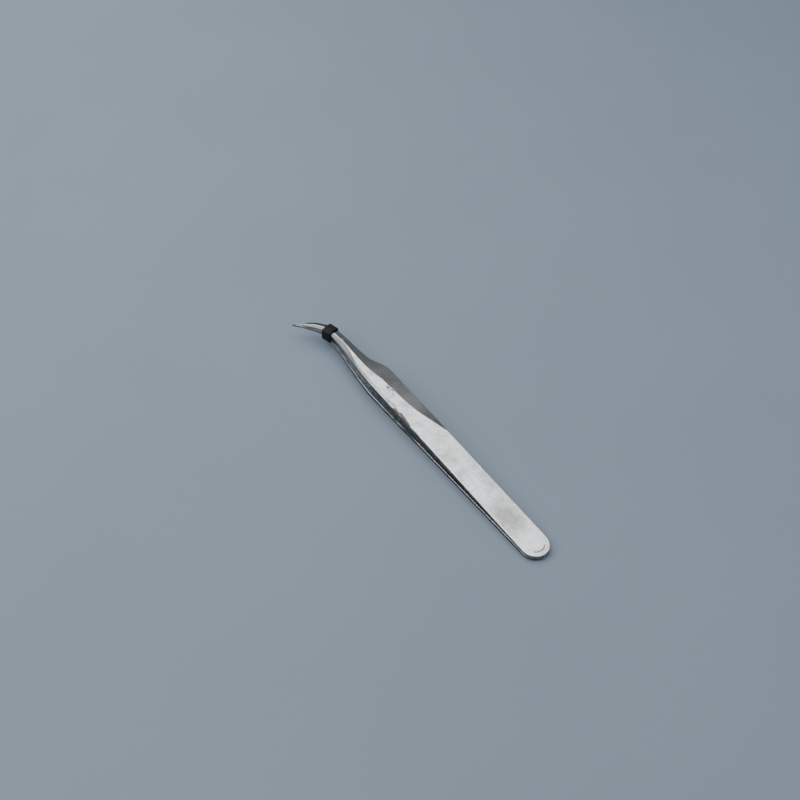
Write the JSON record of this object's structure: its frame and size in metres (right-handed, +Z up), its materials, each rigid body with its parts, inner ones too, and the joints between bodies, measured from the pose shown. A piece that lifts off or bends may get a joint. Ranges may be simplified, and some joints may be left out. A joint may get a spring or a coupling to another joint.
{
  "type": "curved tip tweezers",
  "caption": "Curved fine-point tweezers: springy steel arms welded at a rounded end, ground to a ridge and fine points in front, held shut by a rubber ring at the bend.",
  "frame": {"origin": "centre of the bottom of the bounding box, on the surface that the closed pair lies on", "axes": "+X from the welded end towards the tips, +Y the side the tips curve to, +Z up; the pair lies on its side with one arm above the other"},
  "size_m": [0.1192, 0.014, 0.007],
  "materials": {
    "satin_steel": "fine satin, polished edges",
    "weld_metal": "fused, dull",
    "black_rubber": "smooth matt"
  },
  "bodies": {
    "lower_arm": {"lower_arm": "satin_steel", "upper_arm_heel": "satin_steel", "spot_welds": "weld_metal"},
    "upper_arm": {"upper_arm": "satin_steel"},
    "retaining_ring": {"retaining_ring": "black_rubber"}
  },
  "joints": [
    {"name": "upper_arm_flex", "type": "hinge", "parent": "lower_arm", "child": "upper_arm", "pos_m": [-0.05163, -0.00244, 0.0024], "axis": [0, -1, 0], "range_deg": [0, 3], "stiffness_Nm_per_rad": 3},
    {"name": "ring_slide", "type": "hinge", "parent": "lower_arm", "child": "retaining_ring", "pos_m": [0.04364, 0.01712, 0.00426], "axis": [-0.1348, 0.0182, 0.9907], "range_deg": [0, 115.5]}
  ],
  "couplings": [
    {"joint": "ring_slide", "follows": "upper_arm_flex", "ratio": 38.333}
  ]
}
